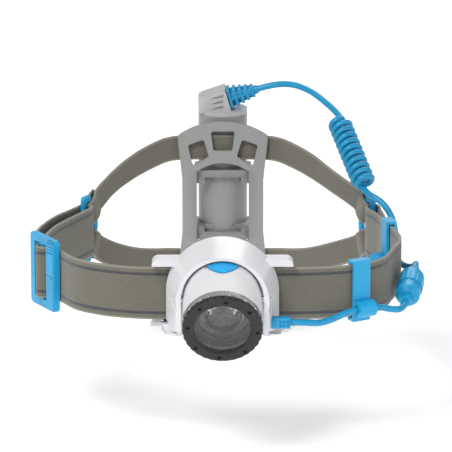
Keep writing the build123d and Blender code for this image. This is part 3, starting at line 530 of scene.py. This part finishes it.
band_route = [
    (76.7, 3.5), (76.1, 12.0), (72.4, 21.0), (69.9, 27.0), (69.6, 33.9), (75.6, 33.9), (76.0, 26.0),
    (77.7, 12.0), (79.0, -2.0), (85.3, -27.5), (79.2, -47.0), (76.0, -61.0), (70.0, -70.0),
    (59.0, -76.8), (46.0, -80.0), (31.0, FRONT_Y), (-31.0, FRONT_Y), (-45.0, -78.8),
    (-57.0, -74.0), (-68.0, -66.0), by_adjuster(0, -2.7), by_adjuster(8.0, -2.8),
    by_adjuster(12.5, 3.1), by_adjuster(15.7, 3.1), by_adjuster(20.8, -2.8),
    by_adjuster(26.5, -2.7), (-89.2, -17.0), (-82.2, 9.0), (-71.2, 27.8), (-68.4, 34.3),
    (-62.6, 31.6), (-64.4, 25.8), (-72.5, 10.0), (-79.8, -6.0), (-83.4, -21.0),
    by_adjuster(24.0, -5.4), by_adjuster(19.0, -3.6), by_adjuster(14.0, -2.3),
]
band_path = smooth_path([(x, y, 0.0) for x, y in band_route], 14)
upright = [Vector((0, 0, 1))] * len(band_path)
wide_band = ribbon("wide_band", band_path, upright, BAND_WIDTH, BAND_THICKNESS, band_cloth, 0.25, 3)
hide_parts("main_strap")

# ---- rear straps ---------------------------------------------------------------------------------
RING_REARWARD = Vector((0.41, 0.912, 0)).normalized()
RING_SHOULDER = (4.4, 15.2)
RING_NOSE = (12.0, 1.2)
RING_MIDDLE = (70.05, 30.6)
RING_SHIFT = 2.65                 # both rings sit this far to the right of a symmetric pair
RING_SLANT = Vector((RING_NOSE[0] - RING_SHOULDER[0], RING_NOSE[1] - RING_SHOULDER[1])).normalized()
RING_SLANT_MIDDLE = Vector(((RING_SHOULDER[0] + RING_NOSE[0]) / 2, (RING_SHOULDER[1] + RING_NOSE[1]) / 2))
RING_LEAD = Vector((-RING_SLANT.y, RING_SLANT.x))
STRAP_RISE = [(53.5, 53.5, 18.8), (43.5, 63.7, 24.2), (34.5, 73.0, 27.0), (27.0, 80.4, 28.6),
              (17.0, 80.95, 29.2)]
TWIST_START, TWIST_RUN = 42.0, 18.0


def by_ring(side, rearward, height, outward=0.0):
    """A place on a ring's own plane: back from its bar, up from its middle, outward from its face."""
    x = side * RING_MIDDLE[0] + RING_SHIFT - side * RING_REARWARD.x * rearward
    y = RING_MIDDLE[1] + RING_REARWARD.y * rearward
    out = Vector((side * RING_REARWARD.y, RING_REARWARD.x, 0))
    return Vector((x, y, height)) + out * outward


def rear_strap(name, level, node, seed):
    """A narrow strap sewn round a slanted side of each ring and led behind the cradle."""
    points = []

    def on_ring(side, distance, outward):
        rearward, height = RING_SLANT_MIDDLE + RING_LEAD * distance
        return by_ring(side, rearward, level * height, outward)

    for side in (-1, 1):
        half = [on_ring(side, 8.5, 1.0), on_ring(side, 5.0, 1.7), on_ring(side, -2.4, 2.0),
                on_ring(side, -2.4, -2.0), on_ring(side, 5.0, -1.4), by_ring(side, 14.0, level * 12.0, -0.4)]
        half += [Vector((side * x, y, level * z)) for x, y, z in STRAP_RISE]
        points.append(half)
    route = points[0] + points[1][::-1]
    path = smooth_path(route, 10)
    sides = []
    for i, point in enumerate(path):
        way = (path[min(i + 1, len(path) - 1)] - path[max(i - 1, 0)]).normalized()
        flat_x = max(-1.0, min(1.0, (abs(point.x) - 15) / 40))
        out = Vector((math.copysign(flat_x, point.x), 0.35 + 0.65 * (1 - flat_x), 0)).normalized()
        side = math.copysign(1, point.x)
        lean = Vector((-side * RING_REARWARD.x * RING_SLANT.x, RING_REARWARD.y * RING_SLANT.x,
                       level * RING_SLANT.y))
        sewn = -lean.normalized() * level
        free = way.cross(out)
        if free.z < 0:
            free = -free
        share = min(1.0, max(0.0, (point.y - TWIST_START) / TWIST_RUN))
        share = share * share * (3 - 2 * share)
        across = (sewn * (1 - share) + free * share).normalized()
        sides.append(across)
    strap = ribbon(name, path, sides, REAR_WIDTH, REAR_THICKNESS, rear_cloth, 0.2, seed)
    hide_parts(node)
    return strap


upper_webbing = rear_strap("rear_webbing_upper", 1, "rear_strap_upper", 5)
lower_webbing = rear_strap("rear_webbing_lower", -1, "rear_strap_lower", 8)

# ---- forehead pad --------------------------------------------------------------------------------
def knit(name, colour):
    """Brushed knit over foam: fine courses, fuzz and a soft sheen."""
    s = Shader(name)
    split = s.node("ShaderNodeSeparateXYZ")
    s.link(s.place, split.inputs[0])
    course = s.math("SINE", s.math("MULTIPLY", split.outputs[2], 2 * math.pi / 0.0009))
    wale = s.math("SINE", s.math("MULTIPLY", split.outputs[0], 2 * math.pi / 0.0008))
    loops = s.math("MULTIPLY", course, wale)
    fuzz = s.noise(1800.0, 4.0)
    cloud = s.noise(70.0, 3.0)
    base = s.mix(s.ramp(loops, -0.6, 0.6), tint(colour, 0.65), tint(colour, 1.3))
    s.link(s.mix(s.ramp(cloud, 0.3, 0.75), base, tint(colour, 1.15)), s.main.inputs["Base Color"])
    s.link(s.bump(loops, 0.00015, 0.8, s.bump(fuzz, 0.0001)), s.main.inputs["Normal"])
    s.put(Roughness=0.95, Sheen_Weight=0.4, Sheen_Roughness=0.6)
    return s.material


def pad_cushion():
    """The foam pad behind the bracket: crowned, with a pinched rim and two quilted channels."""
    half_x, half_z = 30.8, 16.4
    back_y, depth = -77.45, 3.4
    rim_height = 0.35
    channels, channel_width, channel_depth = (-10.5, 10.5), 1.1, 0.34
    squareness = 5
    cols, rows = 72, 40
    verts, faces = [], []

    def squircle(u, v):
        """A square grid pushed out to a rounded rectangle."""
        reach = max(abs(u), abs(v), 1e-6)
        norm = max((abs(u) ** squareness + abs(v) ** squareness) ** (1 / squareness), 1e-6)
        return u * reach / norm, v * reach / norm

    def height(u, v):
        rim = max(0.0, 1.0 - max(abs(u), abs(v)) ** 6) ** 0.5
        channel = sum(channel_depth * math.exp(-((u * half_x - c) / channel_width) ** 2) for c in channels)
        lump = 0.05 * noise.noise(Vector((u * 3.1, v * 2.3, 4.0)))
        return rim * (0.86 - channel + lump + 0.10 * (1 - u * u) * (1 - v * v))

    for face_side in (0, 1):
        for j in range(rows + 1):
            for i in range(cols + 1):
                u, v = 2 * i / cols - 1, 2 * j / rows - 1
                su, sv = squircle(u, v)
                rise = height(u, v) * depth if face_side else 0.0
                y = back_y + rim_height + rise if face_side else back_y
                verts.append((su * half_x * MM, y * MM, sv * half_z * MM))
    size = (cols + 1) * (rows + 1)
    for face_side in (0, 1):
        for j in range(rows):
            for i in range(cols):
                a = face_side * size + j * (cols + 1) + i
                loop = (a, a + 1, a + cols + 2, a + cols + 1)
                faces.append(loop if face_side == 0 else loop[::-1])
    rim = list(range(cols + 1))
    rim += [j * (cols + 1) + cols for j in range(1, rows + 1)]
    rim += [rows * (cols + 1) + i for i in range(cols - 1, -1, -1)]
    rim += [j * (cols + 1) for j in range(rows - 1, 0, -1)]
    for a, b in zip(rim, rim[1:] + rim[:1]):
        faces.append((b, a, a + size, b + size))
    mesh = bpy.data.meshes.new("brow_pad")
    mesh.from_pydata(verts, [], faces)
    bm = bmesh.new()
    bm.from_mesh(mesh)
    bmesh.ops.recalc_face_normals(bm, faces=bm.faces)
    bm.to_mesh(mesh)
    bm.free()
    pad = add_object("brow_pad", mesh, knit("pad_knit", (0.045, 0.045, 0.05)))
    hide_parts("forehead_pad")


pad_cushion()


# ---- stitches ------------------------------------------------------------------------------------
def stitch_row(bm, line, length=1.7, gap=0.7, thick=0.16):
    """Short raised threads along a polyline; line is (place, outward) pairs in millimetres."""
    travelled = 0.0
    start = None
    for (p, n), (q, _) in zip(line, line[1:]):
        step = (q - p).length
        if start is None:
            start = (p, n)
        travelled += step
        if travelled >= length:
            a, out = start
            way = (q - a).normalized()
            side = out.cross(way).normalized()
            rings = []
            for t in (0.0, 0.15, 0.5, 0.85, 1.0):
                swell = math.sin(math.pi * min(max(t, 0.06), 0.94)) ** 0.5
                centre = a.lerp(q, t) + out * (0.12 * math.sin(math.pi * t) - 0.03)
                ring = []
                for k in range(6):
                    turn = k * math.pi / 3
                    corner = centre + side * math.cos(turn) * thick * swell + out * math.sin(turn) * thick * swell
                    ring.append(bm.verts.new(corner * MM))
                rings.append(ring)
            for low, high in zip(rings, rings[1:]):
                for k in range(6):
                    bm.faces.new((low[k], low[(k + 1) % 6], high[(k + 1) % 6], high[k]))
            bm.faces.new(rings[0][::-1])
            bm.faces.new(rings[-1])
            start = None
            travelled = -gap
        elif travelled < 0:
            start = None


def box_stitch(name, place, colour):
    """A stitched box with a cross on webbing. place(along, across) gives (point, outward)."""
    bm = bmesh.new()
    runs = [((0, -1), (0, 1)), ((0, 1), (1, 1)), ((1, 1), (1, -1)), ((1, -1), (0, -1)),
            ((0, -1), (1, 1)), ((0, 1), (1, -1))]
    for (u0, v0), (u1, v1) in runs:
        line = [place(u0 + (u1 - u0) * k / 60, v0 + (v1 - v0) * k / 60) for k in range(61)]
        stitch_row(bm, line)
    mesh = bpy.data.meshes.new(name)
    bmesh.ops.recalc_face_normals(bm, faces=bm.faces)
    bm.to_mesh(mesh)
    bm.free()
    return add_object(name, mesh, colour)


thread_dark = rubbery("thread_dark", (0.10, 0.095, 0.08), 0.8)


def surface(thing):
    """The faces of a finished piece, ready to be hit by rays."""
    mesh = thing.data
    corners = [v.co.copy() for v in mesh.vertices]
    return BVHTree.FromPolygons(corners, [tuple(p.vertices) for p in mesh.polygons])


def cast(tree, start, way):
    """Where a ray in millimetres meets the surface, and the direction back towards its start."""
    place = tree.ray_cast(start * MM, way.normalized())[0]
    return (start if place is None else place / MM), -way.normalized()


BOX_START, BOX_LENGTH, BOX_MARGIN = 4.5, 7.0, 2.6
BESIDE_BAND = 95.0


def band_box(along, across):
    """The sewn end of the right band, on its outer face."""
    start = Vector((BESIDE_BAND, BOX_START + BOX_LENGTH * along, across * (BAND_WIDTH / 2 - BOX_MARGIN)))
    return cast(band_faces, start, Vector((-1, 0, 0)))


band_faces = surface(wide_band)
box_stitch("band_stitches_right", band_box, thread_dark)

SEWN_NEAR, SEWN_FAR = 2.6, 7.0
SEWN_MARGIN = 1.6
RAY_START = 12.0


def flap_place(tree, side, level):
    """How a box of stitches finds the outer face of the flap behind one ring."""

    def place(along, across):
        reach = SEWN_NEAR + (SEWN_FAR - SEWN_NEAR) * along
        shift = across * (REAR_WIDTH / 2 - SEWN_MARGIN)
        rearward, height = RING_SLANT_MIDDLE + RING_LEAD * reach + RING_SLANT * shift
        start = by_ring(side, rearward, level * height, RAY_START)
        return cast(tree, start, by_ring(side, rearward, level * height) - start)

    return place


for strap, level, word in ((upper_webbing, 1, "upper"), (lower_webbing, -1, "lower")):
    strap_faces = surface(strap)
    for side, hand in ((-1, "left"), (1, "right")):
        box_stitch(f"strap_stitches_{word}_{hand}", flap_place(strap_faces, side, level), thread_dark)


# ---- finishes of the CAD nodes -------------------------------------------------------------------
FINISHES = {
    white_shell: ("front_bracket", "head_shell", "rear_cover"),
    blue_plastic: ("ring_left", "ring_right", "adjuster", "connector_plug_half", "connector_socket_half",
                   "coupling_nut", "cable_clip_front", "cable_clip_side"),
    blue_cord: ("lamp_cable_boot", "battery_cable_boot"),
    button_blue: ("power_button",),
    bezel_black: ("focus_bezel",),
    ring_silver: ("scale_ring",),
    sink_metal: ("heat_sink",),
    steel: ("pivot_pins", "cover_screws", "door_hinge_pin", "tact_switch"),
    plated: ("contact_spring",),
    glass: ("front_glass",),
    lens_clear: ("tir_lens",),
    red_clear: ("rear_light_lens",),
    black_rubber: ("shell_seal", "glass_gasket", "cap_seal", "door_seal", "connector_seal", "forehead_pad"),
    carrier_black: ("lens_carrier",),
    inner_black: ("led_board",),
    board_green: ("driver_board", "contact_plate", "charge_board"),
    phosphor: ("led_chip", "rear_light_led"),
    cell_wrap: ("battery_cell",),
    cradle_grey: ("cradle",),
    # painted shade on the battery case and door
    case_painted_shade: ("battery_case", "battery_door"),
    case_grey: ("case_cap",),
}
for material, names in FINISHES.items():
    for node in names:
        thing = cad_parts[node]
        if thing.material_slots:
            thing.material_slots[0].material = material

# ---- softened edges ------------------------------------------------------------------------------
BEVELS = {
    0.9: ("adjuster",),
    0.45: ("cable_clip_front", "cable_clip_side", "ring_left", "ring_right", "front_bracket", "case_cap"),
    0.3: ("head_shell", "cradle", "battery_door", "power_button", "battery_cable_boot", "lamp_cable_boot"),
    0.2: ("connector_plug_half", "connector_socket_half", "coupling_nut", "scale_ring", "focus_bezel"),
}
for width, names in BEVELS.items():
    for node in names:
        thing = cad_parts[node]
        bevel = thing.modifiers.new("soft_edges", "BEVEL")
        bevel.width = width * MM
        bevel.segments = 3
        bevel.limit_method = "ANGLE"
        bevel.angle_limit = math.radians(38)
        bevel.harden_normals = False
        bevel.use_clamp_overlap = True
        bevel.miter_outer = "MITER_ARC"
        weigh = thing.modifiers.new("even_shading", "WEIGHTED_NORMAL")
        weigh.keep_sharp = False
